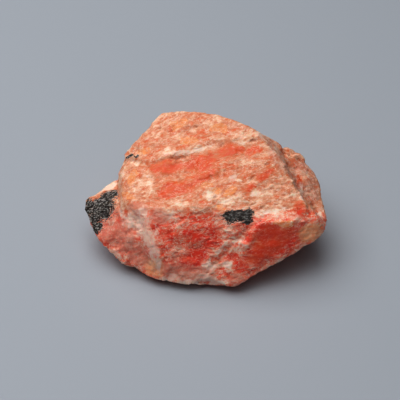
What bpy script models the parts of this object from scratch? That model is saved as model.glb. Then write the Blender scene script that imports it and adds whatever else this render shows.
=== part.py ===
"""A hand-size lump of rough triplite, broken on every side.

The stone is one solid. It is roughed out as four convex blocks that share their insides: the
main body with its sloping top, a dark knob at the left end, a low shoulder behind the right
end, and a blunt nose at the front right. Round cutters take shell-shaped chips off it. The
joined block is then given the relief of a real break: two sheets that still stand proud, a few
valleys, long terraces along the cleavage, and flat splinter faces. Last it is cut flat
underneath, where it rests on a patch well inside its foot, so that its lower edges hang clear.

Corners are in millimetres, with +X to the right along the stone, +Y to its back, +Z up, and the
zero at the foot of the front. The finished stone is moved so that its origin is the centre of
its base.
"""

import bpy
import bmesh
import numpy as np
from mathutils import Matrix, Vector, noise

MM = 0.001

# Driving dimensions
LENGTH = 50.5 * MM
NET_SIZE = 0.42 * MM
MOST_TRIANGLES = 7600
GROUND = -1.3 * MM
TOUCHING = 1e-7

# Main body: the rim of the top from the left back clockwise, the ridge down the front, the foot,
# the back wall and the underside.
RIM_BACK = [(-8.9, 32.6, 19.4), (-3.0, 30.9, 21.4), (2.2, 29.4, 21.8), (9.8, 25.6, 21.4)]
RIM_RIGHT = [(13.3, 21.8, 20.4), (16.4, 19.0, 19.0), (19.5, 12.8, 16.0), (21.5, 9.6, 14.0)]
BELOW_RIM_RIGHT = [(12.0, 24.9, 20.2), (14.1, 24.5, 18.6), (16.1, 25.2, 16.2)]
RIM_FRONT = [(17.9, 6.7, 13.4), (10.0, 5.7, 13.6), (4.3, 7.5, 15.3), (-0.9, 8.4, 15.8)]
RIM_LEFT = [(-9.8, 8.5, 14.9), (-14.4, 10.3, 14.0), (-17.0, 12.6, 13.0), (-17.8, 20.6, 13.2)]
RIM_LEFT_BACK = [(-17.2, 22.1, 15.5), (-14.2, 24.4, 17.0), (-10.8, 28.9, 18.5)]
FRONT_RIDGE = [(-11.7, 6.4, 11.6), (-10.6, 5.0, 9.9), (-9.9, 3.5, 7.0)]
FRONT_FOOT = [(-9.1, 1.3, 0.8), (-3.2, -0.2, 0.8), (5.2, -0.5, 1.0), (7.3, -0.3, 1.6)]
FRONT_FOOT_RIGHT = [(12.0, 1.7, 3.7), (16.1, 3.1, 5.6), (20.6, 5.0, 7.0)]
LEFT_FOOT = [(-11.4, 2.2, 0.8), (-14.6, 4.7, 1.2), (-16.5, 5.2, 1.2), (-19.2, 7.2, 3.0)]
BACK_WALL = [(-10.5, 33.4, 13.0), (-1.0, 33.8, 10.5), (7.5, 30.6, 13.0), (-5.0, 31.6, 3.6)]
BACK_WALL_ENDS = [(-16.0, 27.0, 9.0), (-13.5, 27.0, 2.6), (14.5, 26.4, 8.0), (7.0, 28.2, 3.6)]
UNDERSIDE = [(-10.5, 10.5, -2.1), (-3.0, 6.6, -2.1), (6.0, 6.2, -2.1), (9.8, 9.8, -2.1)]
UNDERSIDE_BACK = [(9.8, 17.0, -2.1), (3.5, 23.5, -2.1), (-6.0, 25.0, -2.1), (-12.0, 18.0, -2.1)]
BODY = (
    RIM_BACK + RIM_RIGHT + BELOW_RIM_RIGHT + RIM_FRONT + RIM_LEFT + RIM_LEFT_BACK
    + FRONT_RIDGE + FRONT_FOOT + FRONT_FOOT_RIGHT + LEFT_FOOT
    + BACK_WALL + BACK_WALL_ENDS + UNDERSIDE + UNDERSIDE_BACK
)

# Knob at the left end: a slanted face of dark mineral, with its tip clear of the ground
KNOB_RIM = [(-25.0, 16.3, 9.6), (-25.6, 14.9, 8.4), (-20.6, 19.5, 10.6), (-18.8, 20.9, 11.0)]
KNOB_FACE = [(-17.6, 13.8, 12.0), (-24.0, 12.3, 7.0), (-22.7, 10.0, 5.4), (-22.2, 9.1, 4.9)]
KNOB_HEEL = [(-19.2, 7.2, 3.0), (-22.6, 18.6, 5.0), (-19.6, 22.4, 7.4), (-17.0, 16.0, 1.6)]
KNOB_ROOT = [(-11.0, 12.0, 4.0), (-12.0, 25.5, 8.0), (-12.0, 10.0, 12.0)]
KNOB = KNOB_RIM + KNOB_FACE + KNOB_HEEL + KNOB_ROOT

# Shoulder behind the right end, lower than the top and parted from it by a groove
SHOULDER_RIM = [(17.3, 26.3, 14.8), (19.6, 25.0, 14.2), (21.8, 24.2, 13.3), (23.8, 22.1, 12.5)]
SHOULDER_EDGE = [(24.4, 19.7, 11.0), (24.7, 16.6, 10.0), (25.2, 13.3, 9.5), (25.6, 10.1, 9.0)]
SHOULDER_CROWN = [(15.6, 22.0, 17.2), (17.6, 17.6, 16.2), (19.3, 12.6, 14.6)]
SHOULDER_FOOT = [(21.0, 23.0, 6.5), (22.4, 16.0, 5.2), (22.5, 10.5, 5.6), (13.0, 26.0, 5.0)]
SHOULDER_ROOT = [(12.0, 22.0, 11.0), (14.0, 14.0, 9.0), (12.0, 12.0, 2.5), (17.0, 9.0, 10.5)]
SHOULDER = SHOULDER_RIM + SHOULDER_EDGE + SHOULDER_CROWN + SHOULDER_FOOT + SHOULDER_ROOT

# Nose at the front right, above the overhang
NOSE_RIM = [(23.4, 8.2, 12.0), (25.4, 8.0, 8.6), (24.0, 6.4, 7.4), (25.6, 10.1, 9.0)]
NOSE_ROOT = [(17.9, 6.9, 13.2), (20.4, 4.9, 7.0), (14.0, 14.0, 5.0), (21.5, 11.0, 13.4)]
NOSE = NOSE_RIM + NOSE_ROOT

# Shell-shaped chips: the centre of the ball that bites the stone, and its radius
CHIPS = {
    "foot_notch": ((0.9, -5.6, -1.0), 6.9),
    "left_foot_notch": ((-16.1, 1.8, 0.2), 3.5),
    "heel_notch": ((-9.9, -3.0, -0.6), 4.3),
    "shoulder_gap": ((17.9, 31.6, 21.0), 6.0),
    "right_edge": ((26.4, 17.5, 17.4), 5.0),
    "left_step": ((-22.6, 22.0, 16.6), 6.1),
    "left_heel": ((-21.5, 14.0, -2.5), 6.4),
    "right_heel": ((21.0, 8.5, 0.4), 5.6),
    "front_edge_nick": ((-1.2, 5.4, 19.0), 4.1),
    "nose_edge_nick": ((15.2, 3.6, 17.2), 4.3),
    "right_rim_nick": ((20.6, 16.6, 20.4), 4.4),
    "front_shell": ((-5.5, -1.8, 12.0), 6.9),
    "top_shell": ((-6.0, 15.4, 27.5), 10.8),
    "back_corner": ((-15.5, 36.5, 15.0), 6.6),
    "back_scoop": ((3.5, 41.0, 9.5), 9.6),
    "back_foot": ((13.0, 32.0, 2.0), 7.0),
    "back_rim_nick": ((6.4, 31.0, 25.4), 4.9),
    "back_left_rim_nick": ((-6.6, 36.0, 22.6), 4.3),
    "back_right_shell": ((19.0, 31.0, 7.5), 8.4),
}

# Valleys in the surface: the two ends, the half-width and the depth
VALLEYS = {
    "front_valley": ((8.4, 4.6, 11.2), (0.6, 0.8, 1.4), 1.3, 0.6),
    "ridge_hollow": ((-13.6, 8.4, 11.4), (-11.6, 3.6, 3.6), 1.3, 0.55),
    "shoulder_groove": ((18.4, 20.4, 14.8), (22.6, 12.4, 10.6), 1.3, 0.7),
    "edge_crack": ((-17.8, 22.6, 15.3), (-14.6, 21.4, 16.4), 0.5, 0.55),
    "back_valley": ((-4.0, 34.0, 15.0), (1.0, 31.5, 4.0), 1.8, 0.7),
}

# A sheet still stands on the back half of the top, behind this line of (x, y).
TOP_LEDGE = [(-17.4, 22.7), (-11.3, 19.9), (-3.0, 21.0), (2.4, 22.8), (9.4, 22.6), (15.0, 24.0)]
TOP_LIFT = 0.6
TOP_FACES_UP = 0.35

# A thinner sheet stands on the front, to the right of this line of (z, x), and thins out before
# the nose.
FRONT_LEDGE = [(0.0, -1.5), (2.3, 0.1), (5.3, 2.6), (8.2, 5.2), (11.0, 7.8), (14.0, 12.0)]
FRONT_LIFT = 0.45
FRONT_FACES_OUT = 0.65
FRONT_SHEET_ENDS = 19.0
FRONT_SHEET_THINS_OVER = 8.0
LEDGE_RUN = 0.35
TURNS_AWAY_OVER = 0.25

# How far both edges wander: by, size of the wander, and its seed
RAGGED_EDGE = [(0.6, 1.9, 7.1), (0.3, 0.7, 2.4)]

# The cleavage runs along the stone, a little up to the back right. It leaves long low terraces.
CLEAVAGE_ALONG = Vector((0.97, 0.22, 0.05)).normalized()
CLEAVAGE_ACROSS = Vector((-0.22, 0.93, -0.28)).normalized()
TERRACE_SPACING = 1.9
TERRACE_RISE = 0.34
TERRACE_BEND = 1.5
TERRACE_RAGGEDNESS = 0.45
TERRACE_EDGE = 0.16
TERRACE_WAVES_PER_MM = (0.11, 0.4, 0.12)
TERRACE_FINE_WAVES = 3.3
TERRACE_FADES = 2.2
TERRACE_REACH = 0.3
TERRACE_FADE_PLACE = Vector((0, 0, 8.2))

# Tears across the cleavage leave flat splinter faces, of this size along and across it.
SPLINTER_SIZE = (6.2, 3.2, 3.6)
SPLINTER_TILT = 0.27
SPLINTER_STEP = 0.1
SPLINTER_SEED = 13.0
SPLINTER_STRENGTH = 0.75
SPLINTER_FADES = 1.3
SPLINTER_FADE_WAVES = 0.55
SPLINTER_LEAST = 0.2
SPLINTER_MOST = 1.2

# Slow rise and fall of every face: height, and waves per millimetre
SWELLS = [(0.34, 0.17), (0.17, 0.52)]
SWELL_SEED = 5.3


def placed(name, mesh):
    obj = bpy.data.objects.new(name, mesh)
    bpy.context.scene.collection.objects.link(obj)
    return obj


def hide(helper):
    helper.hide_render = True
    helper.display_type = "WIRE"


def block(name, corners):
    """A convex block of stone spanned by its corners."""
    bm = bmesh.new()
    for corner in corners:
        bm.verts.new(Vector(corner) * MM)
    hull = bmesh.ops.convex_hull(bm, input=bm.verts)
    spare = hull["geom_interior"] + hull["geom_unused"]
    inside = {v for v in spare if isinstance(v, bmesh.types.BMVert)}
    bmesh.ops.delete(bm, geom=list(inside), context="VERTS")
    bmesh.ops.recalc_face_normals(bm, faces=bm.faces)
    mesh = bpy.data.meshes.new(name)
    bm.to_mesh(mesh)
    bm.free()
    return placed(name, mesh)


def ball(name, centre, radius):
    """A round cutter for one chip."""
    bm = bmesh.new()
    to_centre = Matrix.Translation(Vector(centre) * MM)
    bmesh.ops.create_icosphere(bm, subdivisions=4, radius=radius * MM, matrix=to_centre)
    mesh = bpy.data.meshes.new(name)
    bm.to_mesh(mesh)
    bm.free()
    return placed(name, mesh)


def combine(base, helper, operation):
    """Joins or cuts base by helper, which stays in the scene as a hidden guide."""
    boolean = base.modifiers.new(helper.name, "BOOLEAN")
    boolean.operation = operation
    boolean.solver = "EXACT"
    boolean.object = helper
    hide(helper)


def baked(obj):
    """The object's mesh as its modifiers leave it."""
    bpy.context.view_layer.update()
    graph = bpy.context.evaluated_depsgraph_get()
    return bpy.data.meshes.new_from_object(obj.evaluated_get(graph))


def rough_stone():
    """The four blocks joined, with the chips taken off, as one even net of small faces."""
    rough = block("body_block", BODY)
    combine(rough, block("knob_block", KNOB), "UNION")
    combine(rough, block("shoulder_block", SHOULDER), "UNION")
    combine(rough, block("nose_block", NOSE), "UNION")
    for name, (centre, radius) in CHIPS.items():
        combine(rough, ball(name + "_cutter", centre, radius), "DIFFERENCE")
    net = rough.modifiers.new("even_net", "REMESH")
    net.mode = "VOXEL"
    net.voxel_size = NET_SIZE
    hide(rough)
    return baked(rough)


def step_up(value, run):
    """0 below zero and 1 above it, with a smooth climb over the run between them."""
    share = np.clip(value / run + 0.5, 0, 1)
    return share * share * (3 - 2 * share)


def drift(points, size, seed):
    """A slow sideways wander for edges that would run too straight."""
    return np.array([noise.noise(Vector(p) / size + Vector((seed, 0, 0))) for p in points])


def sheets(points, normals):
    """Lift of the two sheets that still stand on the top and on the front."""
    x, y, z = points.T
    ragged = sum(by * drift(points, size, seed) for by, size, seed in RAGGED_EDGE)
    line = np.array(TOP_LEDGE)
    behind = y - np.interp(x, line[:, 0], line[:, 1]) + ragged
    on_top = step_up(normals[:, 2] - TOP_FACES_UP, TURNS_AWAY_OVER)
    line = np.array(FRONT_LEDGE)
    right_of = x - np.interp(z, line[:, 0], line[:, 1]) + ragged
    on_front = step_up(-normals[:, 1] - FRONT_FACES_OUT, TURNS_AWAY_OVER)
    thinning = step_up(FRONT_SHEET_ENDS - x, FRONT_SHEET_THINS_OVER)
    top = TOP_LIFT * step_up(behind, LEDGE_RUN) * on_top
    front = FRONT_LIFT * step_up(right_of, LEDGE_RUN) * on_front * thinning
    return top + front


def valleys(points):
    """Depth of the valleys, each rounded across and fading past its ends."""
    depth = np.zeros(len(points))
    for start, end, half_width, deep in VALLEYS.values():
        start = np.array(start)
        along = np.array(end) - start
        share = np.clip((points - start) @ along / (along @ along), 0, 1)
        away = np.linalg.norm(points - (start + share[:, None] * along), axis=1)
        depth += deep * np.exp(-((away / half_width) ** 2))
    return -depth


def terraces(points):
    """Long low steps, that run out where the stone tore across its sheets."""
    waves = Vector(TERRACE_WAVES_PER_MM)
    rise = []
    for point in points:
        p = Vector(point)
        across = p.dot(CLEAVAGE_ACROSS)
        spot = Vector((p.dot(CLEAVAGE_ALONG), across, p.z)) * waves
        bend = TERRACE_BEND * noise.noise(spot) + TERRACE_RAGGEDNESS * noise.noise(spot * TERRACE_FINE_WAVES)
        share = ((across + bend) / TERRACE_SPACING) % 1.0
        climb = min(max((share - 0.5) / TERRACE_EDGE + 0.5, 0.0), 1.0)
        fade = TERRACE_REACH + TERRACE_FADES * noise.noise(spot + TERRACE_FADE_PLACE)
        strength = min(max(fade, 0.0), 1.0)
        rise.append(strength * TERRACE_RISE * (climb - share))
    return np.array(rise)


def splinters(points):
    """Flat tilted faces, longer along the cleavage, that meet in sharp small steps."""
    turn = np.array([CLEAVAGE_ALONG, CLEAVAGE_ACROSS, CLEAVAGE_ALONG.cross(CLEAVAGE_ACROSS)])
    lift = []
    for local in (points @ turn.T) / np.array(SPLINTER_SIZE):
        p = Vector(local)
        middle = noise.voronoi(p)[1][0]
        tilt = noise.cell_vector(middle * SPLINTER_SEED) * 2 - Vector((1, 1, 1))
        fade = SPLINTER_STRENGTH + SPLINTER_FADES * noise.noise(p * SPLINTER_FADE_WAVES)
        strength = min(max(fade, SPLINTER_LEAST), SPLINTER_MOST)
        lift.append(strength * (SPLINTER_TILT * (p - middle).dot(tilt) + SPLINTER_STEP * tilt.z))
    return np.array(lift)


def swells(points):
    """Slow rise and fall, so that no face is a true plane."""
    lift = np.zeros(len(points))
    for height, waves_per_mm in SWELLS:
        lift += height * drift(points, 1 / waves_per_mm, SWELL_SEED)
    return lift


def break_surface(mesh):
    """Moves every point along its normal by the sum of the reliefs."""
    count = len(mesh.vertices)
    points = np.empty(count * 3)
    normals = np.empty(count * 3)
    mesh.vertices.foreach_get("co", points)
    mesh.vertices.foreach_get("normal", normals)
    points = points.reshape(-1, 3) / MM
    normals = normals.reshape(-1, 3)
    lift = sheets(points, normals) + valleys(points) + terraces(points)
    lift += splinters(points) + swells(points)
    points += normals * lift[:, None]
    mesh.vertices.foreach_set("co", (points * MM).ravel())
    mesh.update()


def thinned(mesh):
    """The same surface with few faces: large on the flats, small along the edges."""
    dense = placed("dense_stone", mesh)
    thin = dense.modifiers.new("thin", "DECIMATE")
    mesh.calc_loop_triangles()
    thin.ratio = MOST_TRIANGLES / len(mesh.loop_triangles)
    hide(dense)
    return baked(dense)


def rested(mesh):
    """Cut flat at the ground, scaled to its length, with the origin at the centre of its base."""
    bm = bmesh.new()
    bm.from_mesh(mesh)
    whole = bm.verts[:] + bm.edges[:] + bm.faces[:]
    cut = bmesh.ops.bisect_plane(
        bm, geom=whole, dist=TOUCHING, plane_co=(0, 0, GROUND), plane_no=(0, 0, 1), clear_inner=True
    )
    rim = [edge for edge in cut["geom_cut"] if isinstance(edge, bmesh.types.BMEdge)]
    bmesh.ops.holes_fill(bm, edges=rim)
    bmesh.ops.triangulate(bm, faces=bm.faces)
    bmesh.ops.recalc_face_normals(bm, faces=bm.faces)
    places = np.array([v.co for v in bm.verts])
    low = places.min(0)
    high = places.max(0)
    middle = (low + high) / 2
    to_origin = Matrix.Translation((-middle[0], -middle[1], -low[2]))
    to_length = Matrix.Scale(LENGTH / (high[0] - low[0]), 4)
    bmesh.ops.transform(bm, matrix=to_length @ to_origin, verts=bm.verts)
    finished = bpy.data.meshes.new("stone")
    bm.to_mesh(finished)
    bm.free()
    return finished


def triplite():
    """Orange-red stone with a dull glassy break."""
    material = bpy.data.materials.new("triplite")
    material.use_nodes = True
    shader = material.node_tree.nodes["Principled BSDF"]
    shader.inputs["Base Color"].default_value = (0.62, 0.16, 0.07, 1)
    shader.inputs["Roughness"].default_value = 0.5
    shader.inputs["Metallic"].default_value = 0.0
    return material


def main():
    for obj in list(bpy.data.objects):
        bpy.data.objects.remove(obj)
    mesh = rough_stone()
    break_surface(mesh)
    stone = placed("stone", rested(thinned(mesh)))
    stone.data.materials.append(triplite())


main()
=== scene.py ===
# %% [markdown]
# # A rough piece of triplite
# Triplite is a heavy phosphate mineral that breaks into flat, flaky faces. This piece is orange and
# pink where it is bruised, deep red where light gets in, and carries a few lumps of black mineral.
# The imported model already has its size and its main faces. A stone modelled anew would drift away
# from them, so this lesson copies that solid, breaks its surface finer, and gives it one finish that
# is worked out from a point's place in the stone.

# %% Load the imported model
import math

import bpy
import numpy as np
from mathutils import Matrix, Vector, noise as noise_at


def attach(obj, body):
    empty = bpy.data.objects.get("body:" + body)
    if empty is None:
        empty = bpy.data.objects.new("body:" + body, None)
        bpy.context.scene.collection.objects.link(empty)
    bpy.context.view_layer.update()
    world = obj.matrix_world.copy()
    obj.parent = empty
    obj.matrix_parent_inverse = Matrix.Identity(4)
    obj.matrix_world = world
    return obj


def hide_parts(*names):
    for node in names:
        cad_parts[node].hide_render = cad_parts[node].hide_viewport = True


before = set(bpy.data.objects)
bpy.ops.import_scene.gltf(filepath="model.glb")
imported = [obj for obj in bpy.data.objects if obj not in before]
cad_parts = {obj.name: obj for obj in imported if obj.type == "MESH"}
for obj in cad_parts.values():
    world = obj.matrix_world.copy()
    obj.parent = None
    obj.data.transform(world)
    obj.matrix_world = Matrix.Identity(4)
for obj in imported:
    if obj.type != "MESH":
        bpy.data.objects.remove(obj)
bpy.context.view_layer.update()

MM = 0.001
scene = bpy.context.scene

# %% [markdown]
# ## The camera
# The stone is seen from 45 degrees above, through a long lens that hardly bends its sides together.
# The distance and the point looked at were fitted until the stone's outline fell on the real one.
# The Standard view keeps the reds as strong as they are mixed; the default view would grey them.
# A photograph has more contrast than the light itself, and the gamma setting stands in for that.

# %% Camera
LOOK_AT = Vector((-1.037, -0.519, 11.199)) * MM
CAMERA_DISTANCE = 301.75 * MM
CAMERA_ABOVE = math.radians(45)
CAMERA_LEAN = math.radians(90) - CAMERA_ABOVE
CAMERA_AT = LOOK_AT + CAMERA_DISTANCE * Vector((0, -math.cos(CAMERA_ABOVE), math.sin(CAMERA_ABOVE)))
CAMERA_CONTRAST = 1 / 1.3
LENS = 130
NEAREST_SEEN = 10 * MM

bpy.ops.object.camera_add(location=CAMERA_AT, rotation=(CAMERA_LEAN, 0, 0))
camera = bpy.context.object
camera.data.lens = LENS
camera.data.clip_start = NEAREST_SEEN
scene.camera = camera
scene.view_settings.view_transform = "Standard"
scene.view_settings.gamma = CAMERA_CONTRAST
print("camera", LENS, "mm lens, at", [round(v, 3) for v in camera.location])

# %% [markdown]
# ## Nodes written as sums
# A material is a web of nodes. It could be drawn by hand in the node editor, but a long sum is hard
# to follow there. A small class lets the web be written as Python: a Value stands for one output of
# a node, and adding or multiplying two of them adds the Math node that does it.

# %% A value in a material
class Value:
    """One output socket; Python's signs on it add Math nodes."""

    def __init__(self, finish, socket):
        self.finish = finish
        self.socket = socket

    def __add__(self, other):
        return self.finish.math("ADD", self, other)

    __radd__ = __add__

    def __sub__(self, other):
        return self.finish.math("SUBTRACT", self, other)

    def __rsub__(self, other):
        return self.finish.math("SUBTRACT", other, self)

    def __mul__(self, other):
        return self.finish.math("MULTIPLY", self, other)

    __rmul__ = __mul__


print("a Value takes + - and *")

# %% [markdown]
# ## A finish that grows node by node
# The finish of a real surface is the sum of many small causes, so each one is added as it comes up.
# A Finish adds any node by one method, which takes the node's type, its settings, and the values or
# links of its sockets. That is shorter than setting each socket, and reads the same everywhere.

# %% A material being made
class Finish:
    """A material that grows node by node."""

    def __init__(self, name):
        self.material = bpy.data.materials.new(name)
        self.material.use_nodes = True
        self.tree = self.material.node_tree
        self.tree.nodes.clear()

    def node(self, kind, settings, sockets):
        """Adds a node: its settings first, then its socket values and links."""
        node = self.tree.nodes.new(kind)
        for name, value in settings.items():
            if name == "stops":
                set_stops(node.color_ramp, value)
            else:
                setattr(node, name, value)
        for name, value in sockets.items():
            if isinstance(value, Value):
                self.tree.links.new(value.socket, node.inputs[name])
            else:
                node.inputs[name].default_value = value
        return node

    def add(self, kind, settings, sockets, out=0):
        """Adds a node and gives one of its outputs as a Value."""
        return Value(self, self.node(kind, settings, sockets).outputs[out])

    def math(self, operation, *values):
        """Adds a Math node on numbers and Values."""
        return self.add("ShaderNodeMath", {"operation": operation}, dict(enumerate(values)))

    def vector_math(self, operation, *values, out=0):
        """Adds a Vector Math node, whose output 0 is a vector; a dot product comes out at Value."""
        return self.add("ShaderNodeVectorMath", {"operation": operation}, dict(enumerate(values)), out)


def set_stops(ramp, stops):
    """Gives a colour ramp its stops: place and colour."""
    while len(ramp.elements) < len(stops):
        ramp.elements.new(1.0)
    for element, (place, colour) in zip(ramp.elements, stops):
        element.position = place
        element.color = colour


def paint(red, green, blue):
    """A colour named as on a screen, 0 to 255, in the even steps of light that a shader works in."""
    light = []
    for part in (red / 255, green / 255, blue / 255):
        light.append(part / 12.92 if part <= 0.04045 else ((part + 0.055) / 1.055) ** 2.4)
    return (*light, 1.0)


print("128 on a screen is", round(paint(128, 128, 128)[0], 2), "of full light")

# %% [markdown]
# ## The floor
# The stone lies on a smooth grey-blue sheet with no pattern and hardly any gloss. A curved backdrop
# would do as well, but from above only its flat part shows, so one large square is enough.

# %% Floor
FLOOR_COLOUR = paint(172, 177, 184)
FLOOR_ROUGHNESS = 0.75
FLOOR_WIDE = 4.0

bpy.ops.mesh.primitive_plane_add(size=FLOOR_WIDE)
floor = bpy.context.object
floor.name = "floor"
plain = Finish("plain backdrop")
plain_shader = plain.add(
    "ShaderNodeBsdfPrincipled", {}, {"Base Color": FLOOR_COLOUR, "Roughness": FLOOR_ROUGHNESS}
)
plain.node("ShaderNodeOutputMaterial", {}, {"Surface": plain_shader})
floor.data.materials.append(plain.material)
print("floor:", FLOOR_WIDE, "m wide")

# %% [markdown]
# ## Light
# The light is soft and comes from above. A sky picture could give it, but two flat softboxes that
# hang level are easier to fit: the main one a little to the left and behind, and a weak one in front.
# Their sizes and places were fitted to the shadow: dark under the raised right end, soft and short
# beyond it, and nearly none at the left. The world is dim, so that the undersides stay dark.

# %% Lamps
WORLD_COLOUR = (0.93, 0.96, 1.0, 1.0)
WORLD_LIGHT = 0.075


def softbox(name, at, size, watts):
    """A square lamp that hangs level and shines straight down."""
    bpy.ops.object.light_add(type="AREA", location=at)
    lamp = bpy.context.object
    lamp.name = name
    lamp.data.size = size
    lamp.data.energy = watts


softbox("main softbox", at=(-0.22, 0.10, 0.50), size=0.60, watts=3.56)
softbox("front softbox", at=(0.0, -0.17, 0.50), size=0.45, watts=0.72)

scene.world = bpy.data.worlds.new("dim room")
scene.world.use_nodes = True
room = scene.world.node_tree.nodes["Background"]
room.inputs["Color"].default_value = WORLD_COLOUR
room.inputs["Strength"].default_value = WORLD_LIGHT
print("two softboxes, world", WORLD_LIGHT)

# %% [markdown]
# ## The grain of the stone
# Triplite splits along one set of planes, so its flakes, streaks and steps all lie one way: here
# they run to the right and a little away. Each texture could be turned by eye, but then they would
# cross. A turn worked out once serves both the relief of the mesh and the colours.

# %% Cleavage direction
CLEAVAGE_ALONG = Vector((0.97, 0.22, 0.05)).normalized()
CLEAVAGE_ACROSS = Vector((-0.22, 0.93, -0.28))


def turn_from(along, across):
    """The turn that takes X to along and Y as near as can be to across."""
    up = along.cross(across).normalized()
    return Matrix((along, up.cross(along), up)).transposed()


CLEAVAGE_TURN = turn_from(CLEAVAGE_ALONG, CLEAVAGE_ACROSS)
print("cleavage runs", [round(v, 2) for v in CLEAVAGE_ALONG])

# %% [markdown]
# ## A finer skin
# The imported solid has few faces, so close to it the edges of its triangles show. Subdividing would
# keep those edges. So a copy is merged, rebuilt from small even squares by a voxel remesh, and
# smoothed only so far that the triangles go and the broken faces stay.

# %% Copy and remesh
MERGE_WITHIN = 0.0001 * MM
VOXEL = 0.24 * MM
SMOOTH_FACTOR = 0.5
SMOOTH_TIMES = 5
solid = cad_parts["stone"]


def only(piece):
    """Selects one piece and nothing else."""
    bpy.ops.object.select_all(action="DESELECT")
    piece.select_set(True)
    bpy.context.view_layer.objects.active = piece


def finished_with(piece, kind, **settings):
    """Adds a modifier with its settings and applies it."""
    modifier = piece.modifiers.new(kind.lower(), kind)
    for name, value in settings.items():
        setattr(modifier, name, value)
    only(piece)
    bpy.ops.object.modifier_apply(modifier=modifier.name)


skin = bpy.data.objects.new("stone_skin", solid.data.copy())
scene.collection.objects.link(skin)
only(skin)
bpy.ops.object.mode_set(mode="EDIT")
bpy.ops.mesh.select_all(action="SELECT")
bpy.ops.mesh.remove_doubles(threshold=MERGE_WITHIN)
bpy.ops.object.mode_set(mode="OBJECT")
finished_with(skin, "REMESH", mode="VOXEL", voxel_size=VOXEL)
finished_with(skin, "SMOOTH", factor=SMOOTH_FACTOR, iterations=SMOOTH_TIMES)
print("skin:", len(skin.data.vertices), "points")

# %% [markdown]
# ## Laying out the areas
# A collector would describe this piece area by area: a clear red band under the ledge, a creamy lip
# above it, a pale vein down the front. A painted image could hold the areas, but it would be tied to
# one mesh and blur close by. Here each area is one squashed ball: its middle, its half width and
# half height in millimetres, and its lean in degrees, as seen by the camera. The middle is a column
# and a row of the camera's picture, 400 by 400, and lies where that line of sight meets the stone.
# On the sides turned away it is a point in millimetres, and the nearest corner of the solid is used.
# The first kind is sound mineral. It has no cracks, lets light in, and looks deep orange or red.

# %% Clear areas
CLEAR_AREAS = {
    "ledge_left": ((167, 167), (3.5, 1.8), 8),
    "ledge_mid": ((200, 162), (3.5, 2.0), 10),
    "ledge_right": ((230, 151), (3.3, 1.9), 8),
    "ledge_end": ((254, 151), (2.5, 1.2), 0),
    "ledge_below": ((178, 186), (4.1, 1.4), 5),
    "upper_low_left": ((165, 194), (2.0, 1.2), -10),
    "upper_middle": ((203, 176), (3.3, 1.2), 10),
    "red_top": ((196, 236), (2.6, 1.2), 0),
    "red_deep": ((196, 254), (2.2, 2.9), -20),
    "red_left": ((172, 236), (1.6, 1.6), 0),
    "red_right": ((210, 240), (1.4, 1.2), 30),
    "window_bright": ((266, 233), (3.2, 2.4), 0),
    "window_low": ((262, 254), (4.5, 2.4), 25),
    "window_right": ((289, 239), (3.5, 2.4), 20),
    "window_left": ((240, 265), (1.8, 1.8), 0),
    "side_line": ((299, 182), (1.0, 3.1), -15),
    "right_orange": ((266, 173), (1.8, 1.0), 15),
    "right_orange_low": ((249, 189), (1.6, 1.0), 35),
    "right_red": ((298, 207), (1.2, 1.8), 0),
    "foot_red": ((104, 240), (1.2, 1.0), 30),
    "ledge_red_left": ((157, 167), (1.4, 1.2), 0),
    "ledge_red": ((178, 166), (1.7, 1.2), 0),
    "red_deep_low": ((190, 262), (2.7, 1.6), 0),
    "window_bright_low": ((267, 250), (1.4, 1.2), 20),
    "window_dark": ((247, 258), (1.8, 1.2), 30),
    "window_mid": ((277, 246), (2.9, 2.0), 20),
    "red_mid_right": ((214, 232), (1.4, 1.4), 0),
    "window_left_up": ((249, 238), (1.6, 1.2), 0),
    "window_left_mid": ((233, 258), (1.0, 0.8), 0),
    "knob_slope": ((112, 234), (1.2, 1.0), -30),
    "side_clear": ((304, 186), (1.0, 1.0), -20),
    "side_clear_up": ((296, 164), (1.3, 0.8), -30),
    "back_window": ((-7, 16, 9), (5.0, 3.6), 10),
    "back_window_low": ((0, 15, 5), (3.5, 2.5), -10),
    "right_window": ((22, 6, 6), (3.0, 2.5), 0),
    "left_back_window": ((-17, 9, 8), (2.6, 3.0), 0),
}
print(len(CLEAR_AREAS), "clear areas")

# %% [markdown]
# ## Orange chips and red windows
# Small fresh chips look orange, because the mineral behind them is sound but thin. They get areas of
# their own, since a clear area would turn them red. Red is the colour of the lower front, which the
# finish finds by itself, so red areas are only needed for the windows on the sides turned away.

# %% Orange and red areas
ORANGE_AREAS = {
    "top_blob": ((189, 141), (2.1, 0.8), 0),
    "top_left_blob": ((144, 152), (1.9, 0.8), 10),
    "top_right_blob": ((222, 127), (1.0, 0.7), 0),
    "top_back": ((178, 124), (2.7, 1.0), 10),
    "upper_left_chip": ((133, 176), (0.8, 1.9), 0),
    "square_chip": ((230, 193), (1.2, 1.1), 0),
    "small_chip": ((206, 185), (1.2, 0.6), 10),
    "small_chip_low": ((217, 191), (1.0, 0.8), 40),
    "left_low_chip": ((127, 196), (1.9, 0.7), 0),
    "above_black": ((221, 209), (1.4, 0.6), 0),
    "window_orange": ((286, 224), (1.8, 1.0), 0),
    "top_orange": ((218, 129), (1.9, 0.8), 5),
    "back_orange": ((-13, 14, 13), (2.4, 1.4), 10),
    "back_orange_mid": ((9, 13, 9), (1.6, 1.1), 20),
}
RED_AREAS = {
    "back_window_red": ((-7, 16, 9), (6.0, 4.4), 10),
    "back_window_red_low": ((0, 15, 5), (4.4, 3.2), -10),
    "right_window_red": ((22, 6, 6), (3.8, 3.2), 0),
}
print(len(ORANGE_AREAS), "orange areas")
print(len(RED_AREAS), "red areas")
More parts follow.
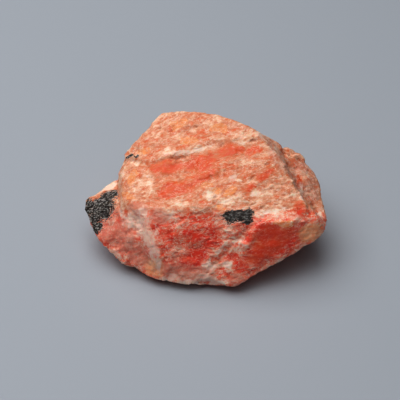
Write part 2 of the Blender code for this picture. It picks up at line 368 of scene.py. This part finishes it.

# %% [markdown]
# ## Bruised places
# Edges and ledges took the blows when the stone was broken out. There it is full of fine cracks and
# looks like cream. Sharp edges could be found by their bend alone, but real bruises also lie on flat
# faces, so most are laid out one by one.

# %% Bruised areas
BRUISED_AREAS = {
    "lip_mid": ((193, 151), (3.9, 0.5), 12),
    "lip_left": ((170, 152), (1.7, 0.6), 0),
    "below_slit": ((137, 163.5), (2.9, 0.6), -3),
    "top_right": ((238, 133), (2.7, 0.9), 5),
    "top_mid": ((180, 137), (1.5, 1.0), -20),
    "top_far": ((245, 140), (2.9, 0.6), -10),
    "upper_left": ((146, 181), (2.3, 1.6), -20),
    "upper_left_low": ((144, 196), (2.9, 1.2), 0),
    "low_band": ((178, 204), (2.6, 0.6), 5),
    "centre": ((222, 199), (3.4, 1.1), 5),
    "centre_up": ((213, 193), (1.0, 1.2), 30),
    "white_patch": ((238, 178), (1.2, 1.0), 0),
    "right_band": ((251, 163), (2.7, 0.7), 5),
    "right_low": ((257, 198), (1.8, 1.6), -30),
    "right_lowest": ((272, 212), (3.5, 1.2), 5),
    "right_pale": ((240, 204), (2.8, 1.0), 0),
    "vein_top": ((239, 239), (1.2, 0.8), 30),
    "vein_up": ((229, 240), (1.6, 0.6), 35),
    "vein_mid": ((214, 254), (1.6, 1.4), 50),
    "vein_low": ((210, 270), (1.8, 2.3), 60),
    "vein_steps": ((228, 267), (1.2, 1.2), 40),
    "vein_foot": ((222, 281), (2.9, 0.8), 0),
    "red_pink_left": ((166, 213), (2.0, 1.4), 0),
    "red_pink_mid": ((196, 211), (1.4, 0.8), 0),
    "knob_top": ((108, 186), (2.1, 0.8), 30),
    "knob_right": ((115, 212), (1.7, 1.9), 0),
    "left_foot_edge": ((117, 254), (1.5, 1.0), -40),
    "white_chip": ((301, 191), (0.6, 1.4), -10),
    "white_chip2": ((319, 214), (1.0, 1.0), -30),
    "black_rim": ((246, 206), (1.8, 0.7), 5),
    "knob_rim": ((104, 187), (1.9, 0.5), 30),
    "side_groove": ((276, 147), (0.8, 1.9), -40),
    "side_groove_mid": ((285, 162), (0.8, 1.9), -25),
    "side_groove_low": ((294, 181), (0.7, 1.6), -20),
    "left_corner": ((137, 190), (1.0, 1.6), 0),
    "ridge_far": ((265, 136), (1.9, 1.0), -30),
    "right_middle": ((268, 197), (1.6, 1.2), 0),
    "back_cream": ((6, 14, 11), (3.4, 2.4), 15),
    "back_cream_low": ((-12, 13, 5), (3.0, 2.0), 0),
    "back_rim_cream": ((1, 17, 17), (4.5, 1.4), 5),
    "right_cream": ((20, 8, 10), (1.8, 1.6), 0),
}
print(len(BRUISED_AREAS), "bruised areas")

# %% [markdown]
# ## Faded strips and veins
# A few strips and veins are paler than the rest, with fibres that run up the front. They are marked
# apart from the bruises, because they keep their own greyish cream and their own grain.

# %% Pale areas
PALE_AREAS = {
    "strip_top": ((134, 221), (3.7, 1.8), -10),
    "strip_bend": ((143, 228), (3.1, 2.0), -45),
    "strip_mid": ((148, 239), (2.2, 2.7), -15),
    "strip_low": ((153, 252), (1.3, 2.7), -10),
    "strip_foot": ((158, 265), (0.7, 2.1), 0),
    "vein_pale_top": ((238, 241), (1.2, 0.5), 30),
    "vein_pale_mid": ((222, 248), (1.6, 0.6), 45),
    "vein_pale_low": ((208, 266), (0.8, 2.0), 50),
    "vein_pale_side": ((227, 265), (1.0, 1.0), 40),
    "side_chip": ((301, 189), (0.5, 1.4), -10),
    "side_chip_low": ((303, 198), (0.6, 0.6), 0),
    "nose_chip": ((320, 213), (0.5, 0.8), -30),
    "shelf_chip": ((232, 178), (1.0, 0.6), 0),
    "knob_rim_pale": ((109, 186), (1.9, 0.6), 30),
    "strip_upper": ((141, 212), (1.4, 1.4), -30),
    "foot_rim": ((190, 283), (3.7, 0.7), 2),
    "foot_rim_right": ((216, 283), (2.1, 0.6), 0),
    # This strip is partly the lip's own cream and partly painted light that lifts the shaded groove
    # under the ledge.
    "ledge_lip_and_painted_light": ((184, 153), (5.0, 0.3), 10),
    "foot_middle": ((208, 279), (2.5, 0.9), 0),
    "foot_left": ((168, 279), (2.3, 0.7), 8),
}
print(len(PALE_AREAS), "pale areas")

# %% [markdown]
# ## Earthy films
# Weather has left thin films on some outer faces: tan on the nose and the foot, and a muted pink low on
# the front. The greyish mauve, mostly on the steep right side, is partly that side's own colour and
# partly painted shade, as it is turned from the light. Each film has its own areas, so that each can be
# given its own strength.

# %% Earthy areas
TAN_AREAS = {
    "nose": ((311, 233), (2.9, 1.8), 25),
    "left_foot": ((155, 268), (2.5, 1.9), -30),
    "back_tan": ((11, 12, 6), (4.0, 2.8), -20),
    "left_tan": ((-18, 6, 5), (2.6, 2.6), 0),
}
MUTED_AREAS = {
    "red_foot": ((180, 272), (5.3, 2.1), -6),
    "middle_foot": ((200, 270), (2.5, 1.0), 0),
    "left_shelf": ((136, 208), (2.7, 1.4), 5),
    "left_slope": ((122, 238), (3.7, 3.7), -40),
    "under_knob": ((108, 230), (1.9, 2.5), 0),
    "left_slope_low": ((138, 256), (2.9, 1.9), -35),
    "left_pink": ((160, 216), (2.4, 1.6), 0),
    "window_foot": ((238, 281), (2.5, 1.2), -20),
    "knob_side": ((113, 216), (1.2, 1.9), 0),
    "back_muted": ((13, 10, 12), (4.0, 3.0), 0),
    "back_muted_low": ((-5, 13, 2), (5.0, 2.0), 0),
}
# These mauve areas are partly the side's own greyish colour and partly painted shade on faces turned
# from the light.
MAUVE_AND_SHADE_AREAS = {
    "shoulder_side": ((311, 190), (1.7, 3.8), -10),
    "shoulder_top": ((300, 168), (2.5, 2.1), -30),
    "side_strip": ((272, 146), (3.8, 1.0), -40),
    "side_low": ((293, 178), (1.2, 3.3), -20),
    "side_front": ((284, 163), (1.7, 1.7), -30),
    "shoulder_back": ((312, 170), (1.7, 2.5), 0),
    "knob_side_low": ((112, 222), (1.0, 1.2), 0),
    "ridge_side": ((276, 155), (2.1, 1.0), -50),
    "side_middle": ((300, 190), (1.9, 2.9), -30),
    "right_end_low": ((24, -2, 6), (2.0, 4.0), 0),
    "back_mauve": ((18, 10, 6), (3.0, 3.0), 0),
}
print(len(TAN_AREAS), "tan areas")
print(len(MUTED_AREAS), "muted areas")
print(len(MAUVE_AND_SHADE_AREAS), "mauve areas")

# %% [markdown]
# ## Black mineral
# Lumps of a black mineral grew in the stone: most of the knob at the left end, a patch on the front
# with a broken edge, and a thin line in the slit at the upper left. One ball makes a round patch, so
# each lump is built from several that overlap.

# %% Black areas
BLACK_AREAS = {
    "knob": ((101, 206), (3.5, 3.1), 20),
    "knob_up": ((108, 197), (2.1, 1.7), 30),
    "knob_tip": ((88, 207), (1.3, 1.9), 0),
    "knob_tail": ((96, 228), (1.0, 1.7), -30),
    "front": ((238, 216), (2.6, 1.7), 0),
    "front_right": ((247, 212), (1.2, 1.0), 0),
    "front_low": ((247, 220), (1.2, 1.0), 0),
    "slit": ((128, 158), (1.0, 0.3), 30),
    "slit_end": ((134, 157), (0.8, 0.2), 0),
    "front_left": ((229, 216), (1.6, 1.0), 0),
    "knob_low": ((94, 219), (1.5, 1.5), -20),
    "front_up": ((236, 211), (1.8, 0.8), 0),
    "back_black": ((3, 16, 13), (1.7, 1.2), 25),
    "back_black_low": ((5.5, 15, 11.6), (0.9, 0.7), 0),
}
print(len(BLACK_AREAS), "black areas")

# %% [markdown]
# ## Glassy and worn places
# The clear windows broke like glass, smooth and with a little gloss, and the ledge and the long edge
# at the right are worn round. Both change the shape as well as the look, so they are marked before
# the relief is made.

# %% Glassy and worn areas
GLASSY_AREAS = {
    "window": ((272, 238), (4.9, 3.1), 15),
    "window_low": ((262, 256), (3.7, 1.6), 20),
    "ledge": ((168, 166), (3.1, 1.0), 8),
    "ledge_far": ((222, 154), (4.1, 1.2), 8),
}
SOFT_AREAS = {
    "side_bend": ((271, 145), (2.5, 1.5), -35),
    "side_upper": ((282, 157), (1.7, 2.5), 0),
    "side_middle": ((289, 174), (1.7, 2.9), -15),
    "side_lower": ((296, 190), (1.4, 2.0), -10),
    "ledge_right": ((230, 141), (5.0, 0.8), 8),
    "ledge_mid": ((190, 152), (4.6, 0.6), 12),
    "ledge_left": ((158, 157), (3.3, 0.6), 8),
}
print(len(GLASSY_AREAS), "glassy areas")
print(len(SOFT_AREAS), "soft areas")

# %% [markdown]
# ## Finding the areas on the stone
# Each area's middle has to lie on the surface. Typing it in as three numbers would mean looking them
# up one by one, so a ray from the camera finds it: through the column and row, down to the solid.

# %% Dropping an area on the stone
PICTURE_SIDE = 400
CAMERA_VIEW = Matrix.Rotation(CAMERA_LEAN, 3, "X")


def points_of(piece):
    """The piece's points in mm, one to a row."""
    points = np.empty(len(piece.data.vertices) * 3)
    piece.data.vertices.foreach_get("co", points)
    return points.reshape(-1, 3) / MM


def seen_at(column, row):
    """Where the line of sight through this column and row of the picture meets the solid, in mm."""
    pixel = camera.data.sensor_width / PICTURE_SIDE
    right = (column - PICTURE_SIDE / 2) * pixel
    up = (PICTURE_SIDE / 2 - row) * pixel
    sight = CAMERA_VIEW @ Vector((right, up, -LENS))
    return np.array(solid.ray_cast(CAMERA_AT, sight.normalized())[1]) / MM


def nearest_corner(point):
    """The corner of the solid that is nearest to this point in mm."""
    corners = points_of(solid)
    return corners[np.argmin(np.linalg.norm(corners - point, axis=1))]


def on_stone(at):
    """An area's middle on the stone, from a column and a row or from a point in mm."""
    return seen_at(*at) if len(at) == 2 else nearest_corner(at)


print("the black patch on the front is at", on_stone(BLACK_AREAS["front"][0]).round(1), "mm")

# %% [markdown]
# ## Marking the points
# A point's mark for a kind of area is 1 in the middle of the nearest ball, 0 at its edge and below 0
# outside. Balls alone would give round spots, so the points are first moved by a soft noise, which
# makes the areas uneven. The noise starts at a place that the clock picks unless it gets a seed, and
# the seed gives the same stone each time. The marks are kept on the mesh as attributes, where both
# relief and finish can read them; an image would need a UV map for that.

# %% Marking the points
AREA_DEPTH = 2.5
FAR_OUTSIDE = -1.5
NOISE_SEED = 8
AREA_WAVES = ((2.6, 0.9), (0.9, 0.35))


def wavy(points, size_mm, by_mm):
    """The points moved by a soft noise, which makes round areas uneven."""
    moves = [noise_at.noise_vector(Vector(point) / size_mm) for point in points]
    return points + np.array(moves) * by_mm


def mark_of(points, areas):
    """How deep each point lies in the nearest of these areas."""
    mark = np.full(len(points), FAR_OUTSIDE)
    for at, half_size, lean in areas.values():
        turn = np.array(CAMERA_VIEW @ Matrix.Rotation(math.radians(lean), 3, "Z"))
        inside = (points - on_stone(at)) @ turn / (*half_size, AREA_DEPTH)
        mark = np.maximum(mark, 1 - np.linalg.norm(inside, axis=1))
    return mark


def keep(piece, name, values):
    """Stores one number for each point of the piece."""
    piece.data.attributes.new(name, "FLOAT", "POINT").data.foreach_set("value", values)


noise_at.seed_set(NOISE_SEED)
points = points_of(skin)
for size_mm, by_mm in AREA_WAVES:
    points = wavy(points, size_mm, by_mm)
marks = {}
for name, areas in (
    ("clear", CLEAR_AREAS),
    ("orange", ORANGE_AREAS),
    ("red", RED_AREAS),
    ("bruised", BRUISED_AREAS),
    ("pale", PALE_AREAS),
    ("tan", TAN_AREAS),
    ("muted", MUTED_AREAS),
    ("mauve", MAUVE_AND_SHADE_AREAS),
    ("black", BLACK_AREAS),
    ("glassy", GLASSY_AREAS),
    ("soft", SOFT_AREAS),
):
    marks[name] = mark_of(points, areas)
    keep(skin, name, marks[name])
    print(name, "areas cover", round(100 * float((marks[name] > 0).mean()), 1), "% of the points")

# %% [markdown]
# ## Rough, glassy and worn
# Bruised mineral broke rough, sound mineral broke smooth, and the worn edges lost their relief. One
# could sculpt this with brushes. Here a group of points with weights tells each modifier how
# strongly to act, so the relief follows the areas and is the same each time.

# %% Where it broke rough
GLASSY_SMOOTH = 0.75
GLASSY_STEEP = 2.5
WORN_STEEP = 3
WORN_TIMES = 90


def weigh(piece, name, weights):
    """Makes a group of all points with these weights."""
    group = piece.vertex_groups.new(name=name)
    for index, weight in enumerate(weights):
        group.add([index], float(weight), "REPLACE")


weigh(skin, "rough", 1 - GLASSY_SMOOTH * np.clip(marks["glassy"] * GLASSY_STEEP + 0.5, 0, 1))
weigh(skin, "worn", np.clip(marks["soft"] * WORN_STEEP, 0, 1))
finished_with(skin, "SMOOTH", factor=SMOOTH_FACTOR, iterations=WORN_TIMES, vertex_group="worn")
print("worn round:", round(100 * float((marks["soft"] > 0).mean()), 1), "% of the points")

# %% [markdown]
# ## Steps and grain
# Flakes have come off one by one and left low steps with straight sides, longer along the cleavage
# than across it. A cell texture gives such blocks: every point of one block gets the same height.
# An empty carries the size and the turn of the blocks, since a Displace modifier can read its
# texture in an empty's space. Large blocks come first, then small flakes, then grains.

# %% Relief
BROKEN_BLOCKS = {
    "noise_basis": "CELL_NOISE",
    "noise_distortion": "IMPROVED_PERLIN",
    "distortion": 1.2,
    "noise_scale": 1.0,
}
SOFT_GRAINS = {"noise_basis": "IMPROVED_PERLIN", "noise_scale": 1.0, "noise_depth": 1}


def relief(piece, name, kind, looks, size_mm, height_mm):
    """Pushes the piece along its normals by a texture of blocks or grains of this size."""
    texture = bpy.data.textures.new(name, kind)
    for setting, value in looks.items():
        setattr(texture, setting, value)
    bpy.ops.object.empty_add()
    carrier = bpy.context.object
    carrier.matrix_world = CLEAVAGE_TURN.to_4x4() @ Matrix.Diagonal((*(Vector(size_mm) * MM), 1.0))
    bpy.context.view_layer.update()
    finished_with(
        piece, "DISPLACE", texture=texture, texture_coords="OBJECT", vertex_group="rough",
        texture_coords_object=carrier, strength=height_mm * MM, mid_level=0.5,
    )
    bpy.data.objects.remove(carrier)


relief(skin, "blocks", "DISTORTED_NOISE", BROKEN_BLOCKS, size_mm=(2.2, 1.1, 1.0), height_mm=0.08)
relief(skin, "flakes", "DISTORTED_NOISE", BROKEN_BLOCKS, size_mm=(0.9, 0.5, 0.45), height_mm=0.035)
relief(skin, "grains", "CLOUDS", SOFT_GRAINS, size_mm=(0.5, 0.35, 0.35), height_mm=0.018)
only(skin)
bpy.ops.object.shade_smooth()
print("skin:", sum(len(face.vertices) - 2 for face in skin.data.polygons), "triangles")

# %% [markdown]
# ## Ridges and hollows
# Ridges of soft stone are knocked pale, and hollows are painted darker as shade. A shader's pointiness
# could tell them apart, but it looks no further than the next points of the mesh, so it is measured
# here.
# A point stands proud where it lies outside the mean of its neighbours. The mean is taken several
# times over, to take in a wider ring, and the distance to it, along the normal, is kept.

# %% How far a point stands proud
RING_TIMES = 12
USUAL_SPREADS = 2


def proud(piece, times):
    """How far each point stands out of its surroundings, in mm."""
    points = points_of(piece)
    count = len(points)
    ends = np.empty(len(piece.data.edges) * 2, dtype=np.int64)
    piece.data.edges.foreach_get("vertices", ends)
    first, second = ends.reshape(-1, 2).T
    share = np.bincount(first, minlength=count) + np.bincount(second, minlength=count)
    soft = points.copy()
    for _ in range(times):
        sums = [
            np.bincount(first, soft[second, axis], count) + np.bincount(second, soft[first, axis], count)
            for axis in range(3)
        ]
        soft = np.array(sums).T / share[:, None]
    normals = np.empty(count * 3)
    piece.data.vertices.foreach_get("normal", normals)
    return ((points - soft) * normals.reshape(-1, 3)).sum(axis=1)


stands = proud(skin, RING_TIMES)
keep(skin, "proud", stands / (USUAL_SPREADS * float(stands.std())))
print("points stand proud by", round(float(stands.std()), 3), "mm as a rule")

# %% [markdown]
# ## Places on the stone
# Every mark on the stone has a place, so the finish starts from Object coordinates, here in
# millimetres. A UV map would have seams, and Generated coordinates would stretch with the stone. A
# first noise shifts the places a little, which makes the edge of every mark ragged.

# %% Coordinates
RAGGED_WAVES = ((2.4, 1.0), (0.9, 0.25))
MIDDLE = (0.5, 0.5, 0.5)
stone = Finish("triplite")


def noise(place, detail=2.0, rough=0.5, out=0):
    """Soft noise, about one blot for each unit of place. Output 1 is a colour, 0 a number."""
    sockets = {"Vector": place, "Scale": 1.0, "Detail": detail, "Roughness": rough}
    return stone.add("ShaderNodeTexNoise", {}, sockets, out)


def scaled(place, by):
    """A place times a plain number."""
    return stone.add("ShaderNodeVectorMath", {"operation": "SCALE"}, {"Vector": place, "Scale": by})


def shifted(place, size_mm, by_mm):
    """The place moved by a soft noise of this size, up to about this far."""
    way = stone.vector_math("SUBTRACT", noise(scaled(place, 1 / size_mm), out=1), MIDDLE)
    return stone.vector_math("ADD", place, scaled(way, 2 * by_mm))


def reach(place, way):
    """How far a place reaches along a way, in mm for a way that is 1 long."""
    return stone.vector_math("DOT_PRODUCT", place, way, out="Value")


here = scaled(stone.add("ShaderNodeTexCoord", {}, {}, "Object"), 1 / MM)
ragged = here
for size_mm, by_mm in RAGGED_WAVES:
    ragged = shifted(ragged, size_mm, by_mm)
print("places are ragged by about", RAGGED_WAVES[0][1], "mm")

# %% [markdown]
# ## Streaks along the grain
# Flakes and streaks are long along the cleavage and thin across it. A noise has no direction of its
# own, so the places are turned and squeezed before it reads them: a round blot comes out as a
# streak. The pale fibres run up the front and the fine threads on the right side run down it.

# %% Stretched places
ALONG_CLEAVAGE = tuple(CLEAVAGE_TURN.to_euler())
UP_THE_FRONT = (math.radians(50), 0.0, math.radians(-25))
DOWN_THE_SIDE = (0.0, math.radians(20), math.radians(-62))


def stretched(place, size, turn=ALONG_CLEAVAGE):
    """The place measured in pieces of this size in mm, laid along the cleavage or another way."""
    sockets = {"Vector": place, "Rotation": turn, "Scale": size}
    return stone.add("ShaderNodeMapping", {"vector_type": "TEXTURE"}, sockets)


print("cleavage turn, degrees:", [round(math.degrees(angle)) for angle in ALONG_CLEAVAGE])

# %% [markdown]
# ## Masks
# A mask says how much of a finish a point gets, from 0 to 1. It is a soft step over a mark, and a
# fine noise on the mark frays the edge, as real stains and chips have no clean outline. Drawing the
# fray into the areas would take thousands of them.

# %% Steps, layers and masks
EDGE_MM = 0.8


def step(value, low, high):
    """0 below low, 1 above high, with a soft step between."""
    sockets = {"Value": value, "From Min": low, "From Max": high, "To Min": 0.0, "To Max": 1.0}
    return stone.add("ShaderNodeMapRange", {"interpolation_type": "SMOOTHSTEP"}, sockets)


def blend(under, over, mask):
    """One colour laid over another where the mask is 1."""
    node = stone.node("ShaderNodeMix", {"data_type": "RGBA"}, {0: mask, 6: under, 7: over})
    return Value(stone, node.outputs[2])


def marked(name):
    """The mark kept on the points under this name."""
    return stone.add("ShaderNodeAttribute", {"attribute_name": name}, {}, "Fac")


edges = noise(scaled(here, 1 / EDGE_MM), 2.0, 0.55)


def mask_of(name, low, high, fray, grain=edges):
    """A mask over the areas of this name, with its edge frayed this much by a noise."""
    return step(marked(name) + fray * (grain - 0.5), low, high)


print("edges are frayed in bits of", EDGE_MM, "mm")

# %% [markdown]
# ## Flakes with a tone of their own
# A flake is one crystal face, so it has one tone all over and the next flake has another. A Voronoi
# texture gives each of its cells one random colour, and one part of that colour serves as the tone.

# %% Flake tones
LARGE_FLAKE = (3.0, 1.5, 1.4)
SMALL_FLAKE = (1.1, 0.5, 0.6)


def flake_tone(place):
    """A number from 0 to 1 that is the same all over one flake."""
    cell = stone.add("ShaderNodeTexVoronoi", {}, {"Vector": place, "Scale": 1.0}, "Color")
    return stone.add("ShaderNodeSeparateColor", {}, {"Color": cell})


large_flakes = flake_tone(stretched(ragged, LARGE_FLAKE))
small_flakes = flake_tone(stretched(ragged, SMALL_FLAKE))
print("large flakes:", LARGE_FLAKE, "mm, small flakes:", SMALL_FLAKE, "mm")

# %% [markdown]
# ## Zones, streaks and specks
# Between bruised and clear the mineral is never even: it changes in wide zones, in patches, blots
# and streaks, and in specks as fine as sugar. One noise with much detail would tie the strengths of
# these sizes together, so each size is a noise of its own. On the side turned away, which has fewer
# areas laid out, the wide zones are stronger. Sizes are in mm: along the cleavage, across, through.

# %% Noises of several sizes
ZONE_MM = 7.0
SPECK_MM = 0.36
STREAK = (2.2, 0.28, 0.40)
BLOT = (1.7, 0.9, 0.9)
PATCH = (4.5, 2.0, 2.0)
AWAY = (0.5, 1.0, -0.5)

across_zones = noise(scaled(here, 1 / ZONE_MM), 2.0)
far_side = step(reach(here, AWAY), 2.0, 9.0)
streaks = noise(stretched(ragged, STREAK), 2.0, 0.55)
blots = noise(stretched(ragged, BLOT), 2.0)
patches = noise(stretched(ragged, PATCH), 1.0)
specks = noise(scaled(here, 1 / SPECK_MM), 2.0, 0.6)
print("noises from", SPECK_MM, "to", ZONE_MM, "mm")

# %% [markdown]
# ## From bruised to clear
# Bruised mineral is full of tiny cracks and looks like cream; sound mineral lets light in and looks
# orange or red. Two colours could be mixed for each area, but the areas would look pasted on. So one
# number, the clarity, is a sum of the areas and the noises, each with its own share, and says most
# about the colour. A second number leads from the orange above to the red of the lower front.

# %% Clarity
LOW_FRONT = (0.0, -1.0, -1.0)

clear = mask_of("clear", -0.35, 0.45, fray=1.1)
orange = mask_of("orange", -0.05, 0.12, fray=0.4)
bruised = mask_of("bruised", -0.12, 0.2, fray=0.9)
pale = mask_of("pale", -0.2, 0.5, fray=1.2)
glassy = step(marked("glassy"), -0.2, 0.3)
stands_proud = marked("proud")
red = stone.math("MAXIMUM", step(reach(ragged, LOW_FRONT), -9.7, -5.7), step(marked("red"), -0.1, 0.4))


def parted(value):
    """A noise with its middle spread out, around 0, so that its blots have an edge."""
    return step(value, 0.36, 0.64) - 0.5


unevenness = (
    0.26 * (large_flakes - 0.5)
    + 0.10 * (small_flakes - 0.5)
    + 0.18 * parted(streaks)
    + 0.24 * parted(blots)
    + 0.24 * parted(patches)
    + 0.10 * (specks - 0.5)
    + (0.4 + 0.7 * far_side) * (across_zones - 0.5)
    # Proud points turn paler, as knocked ridges do; hollows turn deeper in colour, which is painted
    # shade.
    - 0.09 * stands_proud
)
clarity = (
    0.50
    + 0.10 * red
    + 0.45 * clear
    - 0.25 * bruised
    - 0.20 * pale
    + (1.0 + 0.15 * red - 0.3 * clear) * unevenness
)
print("clarity so far:", len(stone.tree.nodes), "nodes")

# %% [markdown]
# ## Orange and red mineral
# The same mineral runs from cream to orange in the upper part and from cream to red below. Each run
# is a colour ramp over the clarity, and a noise shifts the border between the two, so that no line
# shows. Chips get a warm orange on top. The stops were matched to the real stone by trial.

# %% Orange and red mineral
ORANGE_STOPS = [
    (0.00, paint(250, 222, 200)),
    (0.25, paint(236, 180, 148)),
    (0.50, paint(218, 144, 110)),
    (0.75, paint(222, 120, 72)),
    (1.00, paint(224, 94, 46)),
]
RED_STOPS = [
    (0.00, paint(255, 232, 216)),
    (0.25, paint(252, 188, 165)),
    (0.50, paint(249, 140, 115)),
    (0.75, paint(248, 108, 81)),
    (1.00, paint(236, 75, 57)),
]
CHIP = paint(240, 158, 98)
TINT = (3.0, 1.8, 1.8)

upper = stone.add("ShaderNodeValToRGB", {"stops": ORANGE_STOPS}, {"Fac": clarity})
lower = stone.add("ShaderNodeValToRGB", {"stops": RED_STOPS}, {"Fac": clarity})
tint = noise(stretched(ragged, TINT), 2.0)
colour = blend(upper, lower, red + 0.9 * (tint - 0.64) - 0.3 * glassy)
colour = blend(colour, CHIP, orange * (0.4 + 0.5 * small_flakes))
print("ramps:", len(ORANGE_STOPS), "orange stops,", len(RED_STOPS), "red stops")

# %% [markdown]
# ## Fine pale cracks
# Thin cracks catch the light as pale lines. Modelled, they would need millions of faces. A noise
# crosses its own middle along a wandering line, so the places where it is near its middle are the
# cracks, and a second noise breaks them off here and there. In clear and glassy places they fade.

# %% Cracks and threads
BRUISE = paint(255, 228, 206)
CRACK = (1.6, 0.8, 0.8)
THREAD = (2.4, 0.32, 0.5)
UNBROKEN = 0.58


def fine_lines(place, width, broken):
    """1 along thin wandering lines, which break off where the edge noise falls to broken."""
    off_middle = stone.math("ABSOLUTE", noise(place, 3.0, 0.6) - 0.5)
    return (1.0 - step(off_middle, 0.0, width)) * step(edges, broken, UNBROKEN)


crack_strength = (1.0 - 0.4 * clear - 0.4 * glassy) * (0.55 + 0.25 * red)
cracks = fine_lines(stretched(ragged, CRACK), 0.034, 0.40)
threads = fine_lines(stretched(here, THREAD), 0.045, 0.35)
for lines in (cracks, threads):
    colour = blend(colour, BRUISE, lines * crack_strength)
print("two sets of cracks,", CRACK, "and", THREAD, "mm")

# %% [markdown]
# ## Stains, painted shade and faded strips
# Painted shade darkens the hollows, the earthy films lie thinly over the colour below, and the pale
# strips lie over both. A film could be a second shader with its own gloss, but it is too thin to shine,
# so each one is only a colour laid over what is there. The mauve side, partly painted shade, carries
# fine pale threads.

# %% Stains
TAN = paint(255, 192, 142)
MUTED = paint(218, 142, 122)
# This greyish mauve is partly the right side's own colour and partly painted shade.
MAUVE_AND_SHADE = paint(198, 138, 120)
FADED = paint(250, 212, 194)
# This red-brown is painted shade for the hollows.
HOLLOW_SHADE = paint(150, 84, 62)
SIDE_THREAD = (2.6, 0.30, 0.40)
FIBRE = (0.5, 2.6, 0.5)


def film(name, strength):
    """A thin film over the areas of this name."""
    return mask_of(name, -0.3, 0.3, fray=0.5) * strength


tan = film("tan", 0.6)
muted = film("muted", 0.6)
# The mauve film is partly the side's own colour and partly painted shade.
mauve = film("mauve", 0.45)
# Painted shade: the further a point lies below its surroundings, the darker it is made, less so where it
# is glassy or mauve.
hollow_shade = step(0.0 - stands_proud, 0.3, 1.3) * (0.4 - 0.25 * glassy - 0.5 * mauve)
side_threads = fine_lines(stretched(here, SIDE_THREAD, DOWN_THE_SIDE), 0.07, 0.35) * mauve * 1.2
fibres = noise(stretched(ragged, FIBRE, UP_THE_FRONT), 2.0)
faded = pale * (0.35 + 0.25 * step(blots, 0.35, 0.65) + 0.4 * step(fibres, 0.4, 0.6))
for stain, mask in (
    (HOLLOW_SHADE, hollow_shade),
    (TAN, tan),
    (MUTED, muted),
    (MAUVE_AND_SHADE, mauve),
    (BRUISE, side_threads),
    (FADED, faded),
):
    colour = blend(colour, stain, mask)
print("stains laid on:", len(stone.tree.nodes), "nodes")

# %% [markdown]
# ## Black mineral
# The black mineral is a mass of small crystals, so its edge is spiky and some of its faces shine
# grey. It is laid over everything else. A coarse, long grain frays its edge, and a finer noise sets
# the grey specks, which are brighter on the knob, where the lumps lie open.

# %% Black
BLACK = paint(48, 39, 35)
GREY_SPECK = paint(198, 192, 186)
GRIT = (0.9, 0.2, 0.25)
SHINY_GRAIN = (0.6, 0.30, 0.30)
LEFT = (-1.0, 0.0, 0.0)

grit = noise(stretched(here, GRIT), 3.0, 0.65)
black = mask_of("black", -0.03, 0.14, fray=1.9, grain=grit)
knob_end = step(reach(here, LEFT), 10.0, 14.0)
shine = step(noise(stretched(here, SHINY_GRAIN), 2.0), 0.45, 0.70) * (0.36 + 0.38 * knob_end)
colour = blend(colour, blend(BLACK, GREY_SPECK, shine), black)
print("black grit:", GRIT, "mm")

# %% [markdown]
# ## Small flakes for the bump
# The finest relief is too small for the mesh: small flat flakes, each leaning its own way, which is
# what makes a broken surface glitter, with the streaks and the specks on top. It could be a baked
# normal map, but a Bump node on the same noises stays in step with the colours.

# %% Bump
BUMP_FLAKE = (0.9, 0.5, 0.5)
BUMP_DEPTH = 0.045 * MM


def leaning_flakes(place):
    """Height of small flat flakes, each with a lean of its own."""
    cell = stone.node("ShaderNodeTexVoronoi", {}, {"Vector": place, "Scale": 1.0})
    lean = stone.vector_math("SUBTRACT", Value(stone, cell.outputs["Color"]), MIDDLE)
    inside = stone.vector_math("SUBTRACT", place, Value(stone, cell.outputs["Position"]))
    return reach(inside, lean)


height = (1.0 - 0.5 * glassy) * (
    leaning_flakes(stretched(here, BUMP_FLAKE))
    + 0.3 * streaks
    + 0.6 * specks
)
bump = stone.add("ShaderNodeBump", {}, {"Height": height, "Distance": BUMP_DEPTH, "Strength": 1.0})
print("bump:", round(BUMP_DEPTH / MM, 3), "mm deep")

# %% [markdown]
# ## Surface
# Bruised areas are dull and clear ones glassy, so roughness follows clarity. A little light enters
# the stone and comes out red, which Subsurface gives. A glass that light passes straight through
# would suit perfectly clear mineral, but these windows are cloudy inside.

# %% Shader
GLOSSIEST = 0.28
DULLEST = 0.75
LIGHT_GOES_IN = (1.0, 0.3, 0.15)

roughness = stone.math("MAXIMUM", GLOSSIEST, stone.math("MINIMUM", DULLEST, 0.85 - 0.45 * clarity))
shader = stone.add(
    "ShaderNodeBsdfPrincipled",
    {},
    {
        "Base Color": colour,
        "Roughness": roughness,
        "IOR": 1.66,
        "Specular IOR Level": 0.25,
        "Subsurface Weight": 0.15,
        "Subsurface Radius": LIGHT_GOES_IN,
        "Subsurface Scale": 1.0 * MM,
        "Normal": bump,
    },
)
stone.node("ShaderNodeOutputMaterial", {}, {"Surface": shader})
skin.data.materials.clear()
skin.data.materials.append(stone.material)
print("triplite finish:", len(stone.tree.nodes), "nodes")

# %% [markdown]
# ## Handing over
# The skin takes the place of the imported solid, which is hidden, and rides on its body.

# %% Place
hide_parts("stone")
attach(skin, "root")
